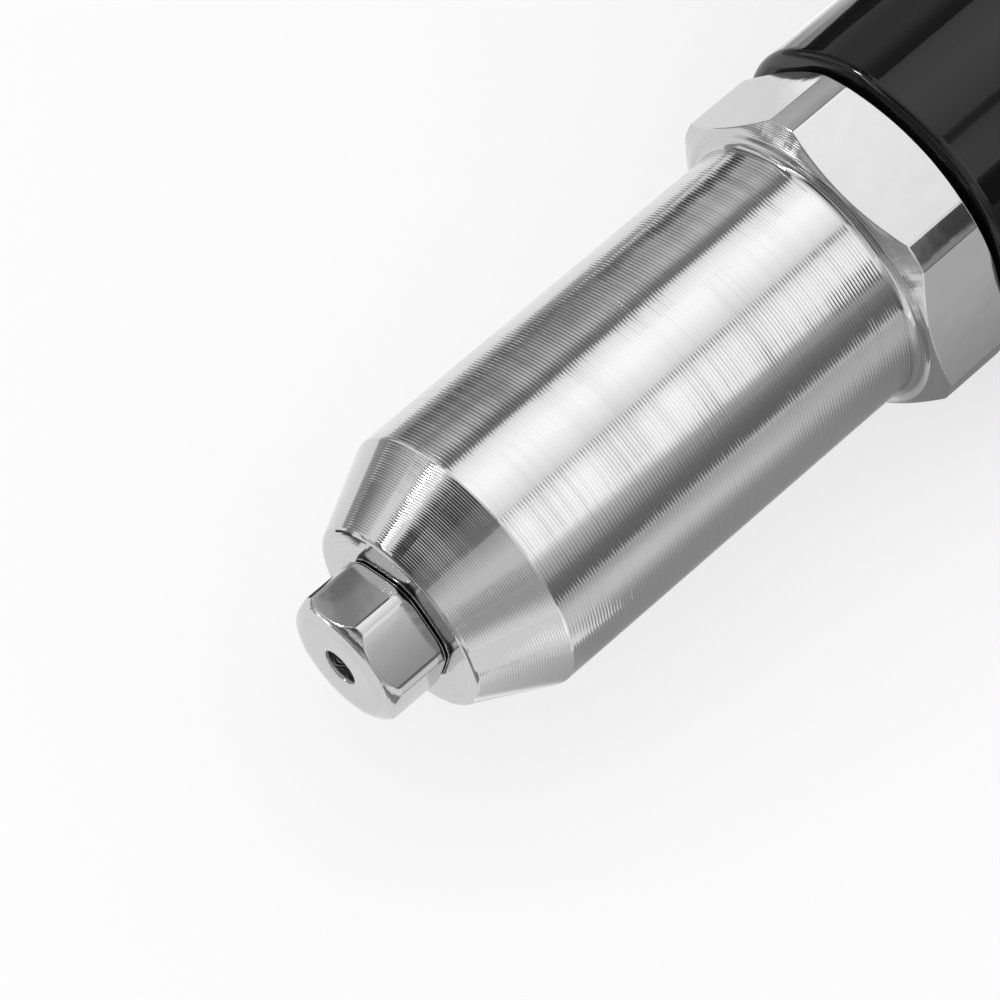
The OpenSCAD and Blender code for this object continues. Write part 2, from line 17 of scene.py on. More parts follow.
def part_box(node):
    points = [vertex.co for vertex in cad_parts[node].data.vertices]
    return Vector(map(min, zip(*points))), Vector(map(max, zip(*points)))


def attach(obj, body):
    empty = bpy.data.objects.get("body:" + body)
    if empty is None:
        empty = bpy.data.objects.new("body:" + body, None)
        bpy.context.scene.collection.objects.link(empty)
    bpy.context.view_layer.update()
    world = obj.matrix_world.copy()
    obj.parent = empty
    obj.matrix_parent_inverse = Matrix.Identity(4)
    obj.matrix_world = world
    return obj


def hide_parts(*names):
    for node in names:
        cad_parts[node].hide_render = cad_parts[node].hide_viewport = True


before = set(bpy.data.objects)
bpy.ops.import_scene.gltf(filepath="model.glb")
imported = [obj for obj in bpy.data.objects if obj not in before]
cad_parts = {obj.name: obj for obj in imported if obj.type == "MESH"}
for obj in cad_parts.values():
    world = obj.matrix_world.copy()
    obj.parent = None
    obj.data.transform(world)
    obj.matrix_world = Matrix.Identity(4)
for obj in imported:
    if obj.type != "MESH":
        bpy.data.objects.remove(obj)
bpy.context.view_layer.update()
MM = 0.001


def low(node):
    """The lowest corner of a solid, in millimetres."""
    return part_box(node)[0] / MM


def high(node):
    """The highest corner of a solid, in millimetres."""
    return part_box(node)[1] / MM


# %% [markdown]
# The tool lies along X with its nose to +X. A turner measures a shaft from one end, so lengths on the
# tool's axis are counted backwards from the sleeve's front face, and a place on a round piece is a
# length, a radius and an angle. The angle starts at the top and turns towards +Y. The side handle has
# an axis of its own that points to -Y, and its heights are counted from the tool's axis.

# %% Places on the two axes
front_x = high("front_sleeve").x
handle_x = (low("handle_stud").x + high("handle_stud").x) / 2


def on_tool(along, radius, angle):
    """A point on a piece that turns about the tool's axis."""
    return Vector((front_x - along, radius * math.sin(angle), radius * math.cos(angle))) * MM


def on_handle(height, radius, angle):
    """A point on a piece that turns about the handle's axis."""
    return Vector((handle_x + radius * math.cos(angle), -height, radius * math.sin(angle))) * MM


print("sleeve front at x", round(front_x, 2), "mm, handle axis at x", round(handle_x, 2), "mm")

# %% [markdown]
# The photo looks down on the nose from the front. The camera is placed by three facts: which way it
# looks, how steeply, and where the middle of the sleeve's front face stands in its view. A long lens
# keeps the shape of the tool nearly parallel, as a product photographer would.

# %% Camera
VIEW_TURN = math.radians(135.69)
VIEW_DROP = math.radians(60.38)
LENS, SENSOR = 194.22, 36
FACE_RIGHT, FACE_UP, FACE_AWAY = -7.794, -9.023, 411.07


def put(name, data):
    """Puts a mesh or a camera into the scene as an object."""
    made = bpy.data.objects.new(name, data)
    bpy.context.scene.collection.objects.link(made)
    return made


def aim_camera():
    """Puts the camera so that the sleeve's front face has its place in the picture."""
    right = Vector((math.cos(VIEW_TURN), math.sin(VIEW_TURN), 0))
    level = Vector((-math.sin(VIEW_TURN), math.cos(VIEW_TURN), 0))
    forward = level * math.cos(VIEW_DROP) - Vector((0, 0, math.sin(VIEW_DROP)))
    up = right.cross(forward)
    face = Vector((front_x, 0, 0))
    eye = (face - right * FACE_RIGHT - up * FACE_UP - forward * FACE_AWAY) * MM
    data = bpy.data.cameras.new("camera")
    data.lens = LENS
    data.sensor_width = SENSOR
    data.clip_start, data.clip_end = 0.02, 20
    made = put("camera", data)
    turn = Matrix((right, up, -forward)).transposed().to_4x4()
    made.matrix_world = Matrix.Translation(eye) @ turn
    bpy.context.scene.camera = made
    return made


camera = aim_camera()
bpy.context.scene.view_settings.view_transform = "Standard"
print("camera at", [round(v / MM) for v in camera.location], "mm")

# %% [markdown]
# Materials are small networks of nodes. A few helpers keep them readable: one adds a node and joins or
# sets its inputs, one does a sum, and the others start a material and join its shader to the output.


# %% Node helpers
def add(tree, kind, inputs=None, family="Shader", **settings):
    """Adds a node. Its inputs are numbers, colours or the outputs of other nodes."""
    made = tree.nodes.new(family + "Node" + kind)
    for key, value in settings.items():
        setattr(made, key, value)
    for key, value in (inputs or {}).items():
        if isinstance(value, bpy.types.NodeSocket):
            tree.links.new(value, made.inputs[key])
        else:
            made.inputs[key].default_value = value
    return made


def math_node(tree, operation, a, b=0.0):
    """The output of one sum on two numbers."""
    return add(tree, "Math", {0: a, 1: b}, operation=operation).outputs[0]


def blank_tree(owner):
    """The emptied node tree of a material or of the world."""
    owner.use_nodes = True
    owner.node_tree.nodes.clear()
    return owner.node_tree


def blank_material(name):
    """A new material and its empty node tree."""
    paint = bpy.data.materials.new(name)
    return paint, blank_tree(paint)


def show(tree, shader, owner="Material"):
    """Joins a shader to the output of its tree."""
    add(tree, "Output" + owner, {"Surface": shader.outputs[0]})


def grey(value):
    """A neutral colour from one number, or a tinted one from three."""
    parts = value if isinstance(value, tuple) else (value, value, value)
    return (*parts, 1.0)


# %% [markdown]
# The stage is a white floor in a white room. Polished steel shows its room and not itself, so the dark
# bands on the sleeve are dark cards that stand beside the tool, and the brightest bands are two soft
# boxes overhead. Cards and boxes are hidden from the camera and seen in reflections. Only the two boxes
# light the tool as well.

# %% World and floor
FLOOR_Z = low("body_cover").z * MM
FLOOR_HALF, FLOOR_WHITE, FLOOR_GLOW = 3.0, 0.98, 0.65


def show_white(tree, rest):
    """One for rays that see the background, straight or in metal and glass, and rest for others."""
    rays = add(tree, "LightPath").outputs
    seen = math_node(tree, "MAXIMUM", rays["Is Camera Ray"], rays["Is Glossy Ray"])
    seen = math_node(tree, "MAXIMUM", seen, rays["Is Transmission Ray"])
    return math_node(tree, "MAXIMUM", seen, rest)


def white_room():
    """A white world that lights everything softly."""
    world = bpy.data.worlds.new("white_room")
    bpy.context.scene.world = world
    tree = blank_tree(world)
    light = add(tree, "Background", {"Color": grey(1.0), "Strength": show_white(tree, 1.0)})
    show(tree, light, "World")


def sheet(name, corners):
    """One flat face through four points in metres."""
    mesh = bpy.data.meshes.new(name)
    mesh.from_pydata(corners, [], [(0, 1, 2, 3)])
    return put(name, mesh)


def pale_floor():
    """A white table top that keeps a soft shadow."""
    ways = ((-1, -1), (1, -1), (1, 1), (-1, 1))
    floor = sheet("floor", [(x * FLOOR_HALF, y * FLOOR_HALF, FLOOR_Z) for x, y in ways])
    paint, tree = blank_material("white_table")
    matt = add(tree, "BsdfDiffuse", {"Color": grey(FLOOR_WHITE)})
    glow = add(tree, "Emission", {"Color": grey(1.0), "Strength": show_white(tree, 0.0)})
    show(tree, add(tree, "MixShader", {0: FLOOR_GLOW, 1: matt.outputs[0], 2: glow.outputs[0]}))
    floor.data.materials.append(paint)
    return floor


white_room()
floor = pale_floor()
print("floor at", round(floor.data.vertices[0].co.z / MM, 2), "mm")

# %% [markdown]
# A card or a soft box is a flat panel that glows. A real card is never one even grey, because it is
# lighter where it catches more light. So a panel's brightness follows stops in two directions, which is
# easier to read and to change than many small panels. Three helpers put panels overhead, on the floor
# and upright.

# %% Panels
def ramp_of(tree, value, stops):
    """A brightness that follows a few stops."""
    ramp = add(tree, "ValToRGB", {"Fac": value})
    elements = ramp.color_ramp.elements
    while len(elements) < len(stops):
        elements.new(0.5)
    for element, (position, _) in zip(elements, stops):
        element.position = position
    for element, (_, bright) in zip(elements, stops):
        element.color = grey(bright)
    return ramp.outputs["Color"]


def panel(name, corners, across, along=None, lights=False):
    """A glowing panel through four points in millimetres, with stops in two directions."""
    made = sheet(name, [Vector(c) * MM for c in corners])
    uv = made.data.uv_layers.new(name="panel")
    for loop_corner, spot in zip(uv.data, ((0, 0), (1, 0), (1, 1), (0, 1))):
        loop_corner.uv = spot
    paint, tree = blank_material(name)
    parts = add(tree, "SeparateXYZ", {0: add(tree, "UVMap", uv_map="panel").outputs[0]}).outputs
    bright = ramp_of(tree, parts["Y"], across)
    share = ramp_of(tree, parts["X"], along or [(0, 1.0), (1, 1.0)])
    show(tree, add(tree, "Emission", {"Color": bright, "Strength": share}))
    made.data.materials.append(paint)
    made.visible_camera = False
    made.visible_shadow = False
    made.visible_diffuse = lights


def shares(start, end, stops):
    """Stops given as places from a start to an end, as shares of the way. No stops stay no stops."""
    return stops and [((place - start) / (end - start), value) for place, value in stops]


def overhead(name, start, end, x0, x1, across, along=None, reach=400, lights=False):
    """A panel round the tool's axis. Its stops are degrees from the top towards +Y."""
    a, b = math.radians(start), math.radians(end)
    (ya, za), (yb, zb) = [(math.sin(t) * reach, math.cos(t) * reach) for t in (a, b)]
    corners = [(x0, ya, za), (x1, ya, za), (x1, yb, zb), (x0, yb, zb)]
    panel(name, corners, shares(start, end, across), shares(x0, x1, along), lights)


def lying(name, x0, x1, y0, y1, across, along=None, lift=0.4):
    """A panel that lies just above the floor. Its stops are millimetres towards +Y."""
    z = FLOOR_Z / MM + lift
    corners = [(x0, y0, z), (x1, y0, z), (x1, y1, z), (x0, y1, z)]
    panel(name, corners, shares(y0, y1, across), shares(x0, x1, along))


def standing(name, x0, x1, y, z0, z1, across, along=None):
    """A panel that stands beside the tool. Its stops are millimetres above the tool's axis."""
    corners = [(x0, y, z0), (x1, y, z0), (x1, y, z1), (x0, y, z1)]
    panel(name, corners, shares(z0, z1, across), shares(x0, x1, along))


# %% [markdown]
# Where a card goes follows from the mirror law: a spot on the steel shows what lies in the direction in
# which the view is thrown back. The long cylinder shows one card along its whole length, the cone looks
# further forward, and the fillet looks nearly everywhere. So each card is placed for one band on the
# steel. A card close to the tool reaches one end of the cylinder only.

# %% Soft boxes and cards
overhead("soft_box_left", -37, 15, -450, 290,
         [(-37, 1.0), (-32, 1.15), (-18, 1.4), (-10, 1.4), (-2, 1.25), (6, 1.1), (15, 0.9)],
         [(-450, 0.8), (-190, 0.8), (-120, 1), (90, 1), (150, 0.7), (290, 0.45)], lights=True)
overhead("seam_between_boxes", 15, 19, -450, 290, [(15, 0.8), (17, 0.7), (19, 0.8)],
         [(-450, 1), (-80, 1), (-66, 0.45), (-48, 0.45), (-38, 0.85), (-10, 0.9), (10, 1.1),
          (90, 1), (290, 0.5)])
overhead("soft_box_right", 19, 56, -450, 290,
         [(19, 0.9), (22, 1.1), (30, 1.25), (46, 1.2), (56, 1.1)],
         [(-450, 0.55), (-150, 0.55), (-80, 1.0), (-36, 1.0), (2, 1.18), (40, 1.15), (100, 0.75),
          (290, 0.7)], lights=True)
overhead("dark_card_right", 56, 92, -600, 190,
         [(56, 0.8), (58, 0.6), (62, 0.46), (70, 0.28), (78, 0.18), (92, 0.14)])
overhead("grey_card_cone", 56, 92, 190, 600,
         [(56, 0.75), (62, 0.6), (70, 0.48), (80, 0.46), (86, 0.6), (92, 0.9)])
overhead("dark_card_rear", 43.5, 60.5, 48, 84.5,
         [(43.5, 0.45), (45.5, 0.16), (48, 0.07), (60.5, 0.05)],
         [(48, 12), (55, 3), (62, 1), (79, 1), (84.5, 3)], reach=60)
overhead("grey_card_nose", 45, 69, 118, 144,
         [(45, 1.35), (48.5, 1.25), (51, 1.0), (54, 0.72), (57.8, 0.62), (61, 0.53), (64, 0.46),
          (69, 0.36)], reach=60)
overhead("dark_card_front", -37, -6, 290, 900, [(-37, 0.07), (-6, 0.08)],
         [(290, 1), (560, 1), (620, 7.5), (900, 10)])
overhead("grey_card_front", -6, 19, 215, 900, [(-6, 0.14), (2, 0.2), (19, 0.24)],
         [(215, 1), (560, 1), (620, 3), (900, 4)])
overhead("light_card_front", 19, 56, 290, 900,
         [(19, 0.48), (24, 0.52), (30, 0.62), (40, 0.8), (50, 0.78), (56, 0.5)])
overhead("dark_card_face", 54, 66, 262, 335, [(54, 0.38), (66, 0.36)], reach=375)
overhead("dark_card_strip", -61, -51.5, 325, 560, [(-61, 0.4), (-57, 0.14), (-51.5, 0.1)], reach=385)
overhead("dark_card_seam", 13.5, 20, -140, -56,
         [(13.5, 0.6), (15.5, 0.3), (18.5, 0.3), (20, 0.6)], reach=395)
overhead("seam_front", 11.5, 15.4, -46, 290,
         [(11.5, 0.97), (12.6, 0.8), (14.6, 0.76), (15.4, 0.9)],
         [(-46, 0.88), (-40, 0.9), (-35, 1.07), (-25, 0.97), (-20, 1), (-8, 1.28), (10, 1.35),
          (290, 0.6)], reach=396)
overhead("soft_box_edge", 15.4, 21, -46, 290,
         [(15.4, 0.88), (16.2, 0.93), (18, 1), (21, 1.02)],
         [(-46, 0.95), (-35, 1), (-25, 0.99), (-16, 1.05), (-7, 1.26), (10, 1.3), (290, 0.6)],
         reach=396)
overhead("soft_box_flap", 55, 58.6, -26, 120, [(55, 1.15), (57.5, 1.1), (58.6, 0.8)],
         [(-26, 0.85), (-20, 1), (40, 1), (120, 0.6)], reach=396)
overhead("bright_strip", -50.6, -47.6, 190, 750, [(-50.6, 4.2), (-47.6, 4.2)], reach=380)
overhead("small_lamp", -51.5, -46.5, 145, 225, [(-51.5, 50), (-46.5, 50)], reach=378)
standing("dark_card_left", -300, 125, -135, -15, 172,
         [(-15, 0.3), (10, 0.45), (33, 0.42), (57, 0.44), (79, 0.54), (91, 0.58), (104, 0.48),
          (119, 0.33), (135, 0.19), (172, 0.14)],
         [(-300, 0.95), (25, 0.98), (38, 1.1), (45, 1.5), (52, 1.45), (58, 1.12), (66, 0.88),
          (74, 0.44), (88, 0.39), (96, 0.75), (105, 0.9), (125, 1.8)])
standing("dark_card_foot", 84, 104, -134.5, -15, 26, [(-15, 0.09), (10, 0.13), (26, 0.2)],
         [(84, 1.3), (90, 1), (104, 1.1)])
standing("grey_card_flat", 120, 134, -60, 27, 50, [(27, 0.7), (34.5, 0.75), (37.5, 1.15), (50, 1.15)],
         [(120, 0.62), (125.5, 0.6), (126.5, 0.55), (129, 0.38), (130.6, 0.26), (134, 0.22)])
standing("dark_card_low", 148, 215, -134, -15, 62, [(-15, 0.22), (8, 0.26), (30, 0.4), (62, 0.45)],
         [(148, 2.0), (156, 1.0), (176, 1.0), (184, 1.4), (195, 1.8), (205, 2.2), (215, 2.4)])
standing("dark_card_tall", 140, 168, -133.5, 62, 172, [(62, 0.3), (172, 0.22)],
         [(140, 3.0), (148, 1.0), (160, 1.0), (168, 3.0)])
panel("dark_wall_front", [(600, -700, -15), (600, 260, -15), (600, 260, 240), (600, -700, 240)],
      [(0, 0.62), (0.22, 0.5), (0.36, 0.18), (1, 0.08)])
lying("dark_cloth_left", 75, 182, -135, -64, [(-135, 0.3), (-64, 0.42)], [(75, 1), (165, 1), (182, 2.4)])
lying("dark_cloth_edge", 151.7, 154.8, -10, -5.9, [(-10, 0.08), (-5.9, 0.08)], lift=17)
lying("light_cloth_under", 138, 152, 3, 11, [(3, 0.8), (11, 0.8)], lift=0.2)
lying("light_cloth_strip", 131.5, 146, 25, 54, [(25, 0.93), (54, 0.93)], lift=0.8)
lying("bright_cloth_near", 30, 86, -38, -12, [(-38, 1.6), (-18, 1.5), (-12, 0.95)],
      [(30, 0.6), (46, 1), (80, 1), (86, 0.6)])
lying("bright_cloth_middle", 26, 77, -60, -38, [(-60, 1.5), (-38, 1.6)],
      [(26, 0.6), (42, 1), (70, 1), (77, 0.6)])
lying("bright_cloth_far", 20, 67, -110, -60, [(-110, 0.95), (-60, 1.5)],
      [(20, 0.65), (36, 1), (60, 1), (67, 0.65)])
lying("grey_cloth_left", 165, 203, -80, -54, [(-80, 0.3), (-54, 0.3)], lift=0.6)
lying("bright_cloth_left", 220, 254, -92, -60, [(-92, 3.5), (-60, 3.5)])
lying("dark_cloth_right", -100, 152, 8.2, 400,
      [(8.2, 0.6), (11, 0.3), (28, 0.34), (37, 0.52), (47, 0.72), (70, 0.72), (110, 0.66),
       (320, 0.5), (400, 0.5)],
      [(-100, 0.8), (-45, 0.85), (-10, 1.2), (20, 1.2), (60, 0.8), (95, 0.8), (108, 1), (136, 1),
       (152, 2.5)])
lying("grey_cloth_right", 156, 190, 14, 26.5, [(14, 0.4), (18, 0.28), (26.5, 0.28)])
lying("dark_cloth_fore", 192, 262, 16, 90, [(16, 0.6), (26, 0.4), (70, 0.4), (90, 1)],
      [(192, 2), (206, 1), (262, 1)])
lying("dark_cloth_front", 262, 700, -260, 120, [(-260, 0.3), (120, 0.34)],
      [(262, 2), (276, 1), (700, 1)])

# %% [markdown]
# Nearly every piece here is turned on a lathe, so one helper makes them all. It takes an outline, walks
# it round the axis and closes the skin. The outline may change with the angle, which is how a hexagon
# with turned chamfers is made: at each angle the flat stands at another radius, and the chamfer's cone
# meets it at another length. So the curved edges of the hexagon come out by themselves. Each corner is
# softened by a short curve.

# %% Outlines
CORNER_STEPS = 4
SOFT_LIMIT = 0.45


def corner(along, radius, soft=0.0, finish=0):
    """One corner of an outline: its place, its softening and the finish that starts there."""
    return (along, radius, soft, finish)


def arc(along, radius, size, start, end, steps, finish):
    """Points on a round stretch. Angles in degrees, from outwards to backwards."""
    turns = [math.radians(start + (end - start) * i / steps) for i in range(steps + 1)]
    return [corner(along + size * math.sin(t), radius + size * math.cos(t), 0, finish) for t in turns]


def softened(corners, loop):
    """The outline's points with each corner as a short curve, and the length walked so far."""
    count = len(corners)
    points = []
    for i, (along, radius, soft, finish) in enumerate(corners):
        here = Vector((along, radius))
        if soft <= 0 or (not loop and i in (0, count - 1)):
            points.append((here, finish))
            continue
        ends = []
        for other in (corners[i - 1], corners[(i + 1) % count]):
            way = Vector(other[:2]) - here
            ends.append(here + way.normalized() * min(soft, way.length * SOFT_LIMIT))
        for k in range(CORNER_STEPS + 1):
            t = k / CORNER_STEPS
            spot = ends[0] * (1 - t) ** 2 + here * 2 * t * (1 - t) + ends[1] * t ** 2
            points.append((spot, finish))
    walked = [0.0]
    for (a, _), (b, _) in zip(points, points[1:] + points[:1]):
        walked.append(walked[-1] + (b - a).length)
    return points, walked


# %% [markdown]
# A screw modifier can turn one outline round an axis, but a hexagon has another outline at every angle.
# So the outline is asked for again at each angle, and the columns of points are joined by hand. The
# length walked along the outline becomes a map, which tells the turning marks where they are. Weighted
# normals keep flat faces flat beside softened edges.

# %% Spinning an outline
WELD = 1e-7


def even_angles(count):
    """Angles all the way round."""
    return [2 * math.pi * i / count for i in range(count)]


def close_skin(bm, mesh):
    """Welds doubled points, turns all faces outwards and writes the mesh."""
    bmesh.ops.remove_doubles(bm, verts=bm.verts, dist=WELD)
    bmesh.ops.recalc_face_normals(bm, faces=bm.faces)
    bm.to_mesh(mesh)
    bm.free()


def spin(name, outline, place, angles, finishes, body, node, loop=True):
    """Walks an outline round its axis, closes the skin and sets it in the place of a solid."""
    bm = bmesh.new()
    layer = bm.loops.layers.uv.new("turning")
    columns = [softened(outline(a), loop) for a in angles]
    grid = [[bm.verts.new(place(p.x, p.y, a)) for p, _ in points]
            for (points, _), a in zip(columns, angles)]
    rows, count = len(grid[0]), len(angles)
    for i in range(count):
        k = (i + 1) % count
        for j in range(rows if loop else rows - 1):
            m = (j + 1) % rows
            face = bm.faces.new((grid[i][j], grid[k][j], grid[k][m], grid[i][m]))
            face.smooth = True
            face.material_index = columns[i][0][j][1]
            spots = ((i, j, i), (k, j, i + 1), (k, j + 1, i + 1), (i, j + 1, i))
            for loop_corner, (column, row, turn) in zip(face.loops, spots):
                loop_corner[layer].uv = (columns[column][1][row], turn / count)
    mesh = bpy.data.meshes.new(name)
    close_skin(bm, mesh)
    for finish in finishes:
        mesh.materials.append(finish)
    piece = put(name, mesh)
    steady = piece.modifiers.new("steady shading", "WEIGHTED_NORMAL")
    steady.keep_sharp = True
    steady.weight = 100
    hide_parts(node)
    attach(piece, body)
    print(name, len(mesh.polygons), "faces")


# %% [markdown]
# A hexagon is three numbers: its size across the flats, its size across the turned corners and the
# angle at which its first flat stands. A real flat is very slightly domed. Where it meets the turned
# corner the nosepiece's flat carries a thin dark line, a painted dark reflection along that edge, so
# more angles are spent there than on the flats.

# %% Hexagons
SIXTH = math.radians(60)
BLEND = 0.012
EDGE_FROM, EDGE_TO = -0.6, 0.14
EDGE_TURNS = (-0.9, -0.58, -0.3, 0, 0.15, 0.45, 0.9)


def hexagon_radius(angle, hexagon, dome):
    """How far a hexagon's skin stands from its axis, with turned corners and slightly domed flats."""
    af, corner_d, clock = hexagon
    turned = (angle - math.radians(clock) + SIXTH / 2) % SIXTH - SIXTH / 2
    fall = dome * (math.tan(turned) / math.tan(SIXTH / 2)) ** 2
    flat, round_corner = (af / 2 - fall) / math.cos(turned), corner_d / 2
    nearer = min(flat, round_corner)
    return nearer - BLEND * math.log1p(math.exp(-abs(flat - round_corner) / BLEND))


def edge_angle(hexagon):
    """Degrees from the middle of a flat to where it meets the turned corner."""
    return math.degrees(math.acos(hexagon[0] / hexagon[1]))


def on_edge_line(angle, hexagon):
    """Tells whether an angle lies in the thin line where a flat meets a turned corner."""
    turned = (math.degrees(angle) - hexagon[2] + 30) % 60 - 30
    return EDGE_FROM < turned - edge_angle(hexagon) < EDGE_TO


def hexagon_angles(count, hexagon):
    """Even angles, with more of them where a flat meets a turned corner."""
    edge = edge_angle(hexagon)
    extra = [hexagon[2] + 60 * k + side * edge + step
             for k in range(6) for side in (-1, 1) for step in EDGE_TURNS]
    plain = [360 * i / count for i in range(count)]
    return [math.radians(a) for a in sorted({round(a % 360, 4) for a in plain + extra})]


# %% [markdown]
# All finishes share a few parts: a cloud of noise, small heights that bend the light, and a gloss that
# is never quite even. The helpers for these come first, so that each finish below shows what is its own.

# %% Parts of a finish
def noise(tree, spot, scale, detail):
    """A cloud of noise between 0 and 1."""
    return add(tree, "TexNoise", {"Vector": spot, "Scale": scale, "Detail": detail}).outputs["Fac"]


def bump(tree, height, depth):
    """Marks on a skin from a height, and how deep a height of one is in millimetres."""
    return add(tree, "Bump", {"Height": height, "Distance": depth * MM, "Strength": 1.0}).outputs[0]


def varied(tree, middle, spread, value):
    """A number that a value between 0 and 1 moves down and up by a spread."""
    return math_node(tree, "ADD", middle - spread, math_node(tree, "MULTIPLY", value, 2 * spread))


def mixed(tree, share, first, second):
    """A colour between two others."""
    return add(tree, "Mix", {0: share, 6: grey(first), 7: grey(second)}, data_type="RGBA").outputs[2]


def joined(tree, x, y, z):
    """Three numbers as one place."""
    return add(tree, "CombineXYZ", {"X": x, "Y": y, "Z": z}).outputs[0]


def main_shader(tree, colour, metal, roughness, marks, **others):
    """Adds the main shader and joins it to the output."""
    inputs = {"Base Color": colour, "Metallic": metal, "Roughness": roughness, "Normal": marks}
    show(tree, add(tree, "BsdfPrincipled", {**inputs, **others}))


# %% [markdown]
# Turning leaves a fine spiral of grooves. Each groove is a shallow scallop, so the network cuts the
# length along the outline into steps of the tool's feed, gives each step a hollow and lets some be
# deeper than others. The finest scratches are too small to model: they stretch the gloss across the
# grooves, which the shader does with anisotropy along the outline.
# The middle of each groove is also painted darker, as painted shade in its hollow.

# %% Turned steel
WAVER_SCALE, WAVER_ROUND, WAVER_SHARE = 0.9, 40.0, 0.1
PATCH_SCALE, PATCH_ROUND = 0.22, 30.0
SPECK_SCALE, SPECK_SPREAD = 6.0, 0.04
# The near-black colour painted into the middle of each groove, as painted shade in its hollow.
GROOVE_SHADE_COLOUR = 0.05
HOLLOW_TO_ONE = 4.0


def turned_places(tree, way):
    """Millimetres along the skin, turns about the axis and the way round, for a kind of piece."""
    calc = partial(math_node, tree)
    spot = add(tree, "TexCoord").outputs["Object"]
    if way == "handle":
        axis = (handle_x * MM, 0, 0)
        spot = add(tree, "VectorMath", {0: spot, 1: axis}, operation="SUBTRACT").outputs[0]
    parts = add(tree, "SeparateXYZ", {0: spot}).outputs
    if way == "handle":
        length, a, b = parts["Y"], parts["X"], parts["Z"]
        round_way = joined(tree, b, 0.0, calc("MULTIPLY", a, -1.0))
    else:
        length, a, b = parts["X"], parts["Y"], parts["Z"]
        round_way = joined(tree, 0.0, calc("MULTIPLY", b, -1.0), a)
    if way == "outline":
        own = add(tree, "SeparateXYZ", {0: add(tree, "UVMap", uv_map="turning").outputs[0]}).outputs
        return own["X"], own["Y"], round_way
    radius = calc("SQRT", calc("ADD", calc("MULTIPLY", a, a), calc("MULTIPLY", b, b)))
    length = calc("MULTIPLY", calc("ADD", length, radius), 1 / MM)
    return length, calc("DIVIDE", calc("ARCTAN2", a, b), 2 * math.pi), round_way


def turned_steel(name, colour, feed, depth, rough, stretch, uneven=0.5, groove_shade=0.0, way="outline"):
    """Metal with turning marks. Feed and depth in millimetres; the argument after uneven is how dark the
    painted shade in the middle of each groove is.
    """
    steel, tree = blank_material(name)
    calc = partial(math_node, tree)
    length, around, round_way = turned_places(tree, way)
    waver_spot = joined(tree, length, calc("MULTIPLY", around, WAVER_ROUND), 0.0)
    waver = noise(tree, waver_spot, WAVER_SCALE, 3.0)
    turn = calc("ADD", calc("DIVIDE", length, feed), around)
    turn = calc("ADD", turn, calc("MULTIPLY", waver, WAVER_SHARE))
    groove, place = calc("FLOOR", turn), calc("FRACT", turn)
    hollow = calc("MULTIPLY", place, calc("SUBTRACT", 1.0, place))
    chance = add(tree, "TexWhiteNoise", {"W": groove}, noise_dimensions="1D").outputs["Value"]
    share = calc("ADD", 1.0 - uneven, calc("MULTIPLY", chance, uneven))
    patch_spot = joined(tree, length, calc("MULTIPLY", around, PATCH_ROUND), 0.0)
    patches = noise(tree, patch_spot, PATCH_SCALE, 1.0)
    patches = add(tree, "MapRange", {0: patches, 1: 0.35, 2: 0.65, 3: 0.55, 4: 1.25}).outputs[0]
    share = calc("MULTIPLY", share, patches)
    height = calc("MULTIPLY", hollow, calc("MULTIPLY", share, -HOLLOW_TO_ONE))
    # Painted shade: the middle of each groove is painted darker, standing in for the shade in its hollow.
    narrow = calc("POWER", calc("MULTIPLY", hollow, HOLLOW_TO_ONE), 4.0)
    dark = calc("MULTIPLY", calc("MULTIPLY", narrow, share), groove_shade)
    roughness = varied(tree, rough, SPECK_SPREAD, noise(tree, waver_spot, SPECK_SCALE, 2.0))
    world_way = add(tree, "VectorTransform", {0: round_way}, vector_type="VECTOR",
                    convert_from="OBJECT", convert_to="WORLD").outputs[0]
    normal = add(tree, "NewGeometry").outputs["Normal"]
    along = add(tree, "VectorMath", {0: normal, 1: world_way}, operation="CROSS_PRODUCT").outputs[0]
    main_shader(tree, mixed(tree, dark, colour, GROOVE_SHADE_COLOUR), 1.0, roughness,
                bump(tree, height, depth), Anisotropic=stretch, Tangent=along)
    return steel


cylinder_finish = turned_steel("turned_cylinder", 0.69, 0.297, 0.0150, 0.13, 0.5, groove_shade=0.12)
cone_finish = turned_steel("turned_cone", 0.61, 0.213, 0.0115, 0.08, 0.5, 0.3, groove_shade=0.10)
chamfer_finish = turned_steel("turned_chamfer", 0.60, 0.20, 0.0035, 0.10, 0.3, 0.9, groove_shade=0.25)
face_finish = turned_steel("faced_steel", 0.61, 0.14, 0.0022, 0.13, 0.3, 0.9, groove_shade=0.25)
crown_finish = turned_steel("turned_crown", 0.60, 0.22, 0.0045, 0.11, 0.2, 0.8)
hole_finish = turned_steel("drilled_hole", 0.6, 0.35, 0.03, 0.25, 0.0, 0.8, groove_shade=0.5)
print("steel finishes:", [paint.name for paint in (
    cylinder_finish, cone_finish, chamfer_finish, face_finish, crown_finish, hole_finish)])

# %% [markdown]
# The flats of both hexagons and the whole nosepiece are bright and nearly flat, but never quite. Slow
# waves in the plating bend what they mirror, which gives the cloudy look of the photo. A little noise
# at two sizes does it.

# %% Bright plate
FINE_WAVES = 9
PLATE_SPREAD, FADED = 0.03, 0.92


def bright_plate(name, colour, rough, wave, wave_size, grain=0.0006, metal=1.0):
    """Plated or polished steel with slow waves. Wave height and size in millimetres."""
    steel, tree = blank_material(name)
    spot = add(tree, "TexCoord").outputs["Object"]
    slow = noise(tree, spot, 1 / (wave_size * MM), 2.0)
    fine = noise(tree, spot, FINE_WAVES / (wave_size * MM), 3.0)
    height = math_node(tree, "ADD", slow, math_node(tree, "MULTIPLY", fine, grain / wave))
    faded = tuple(part * FADED for part in grey(colour)[:3])
    main_shader(tree, mixed(tree, slow, colour, faded), metal,
                varied(tree, rough, PLATE_SPREAD, fine), bump(tree, height, wave))
    return steel


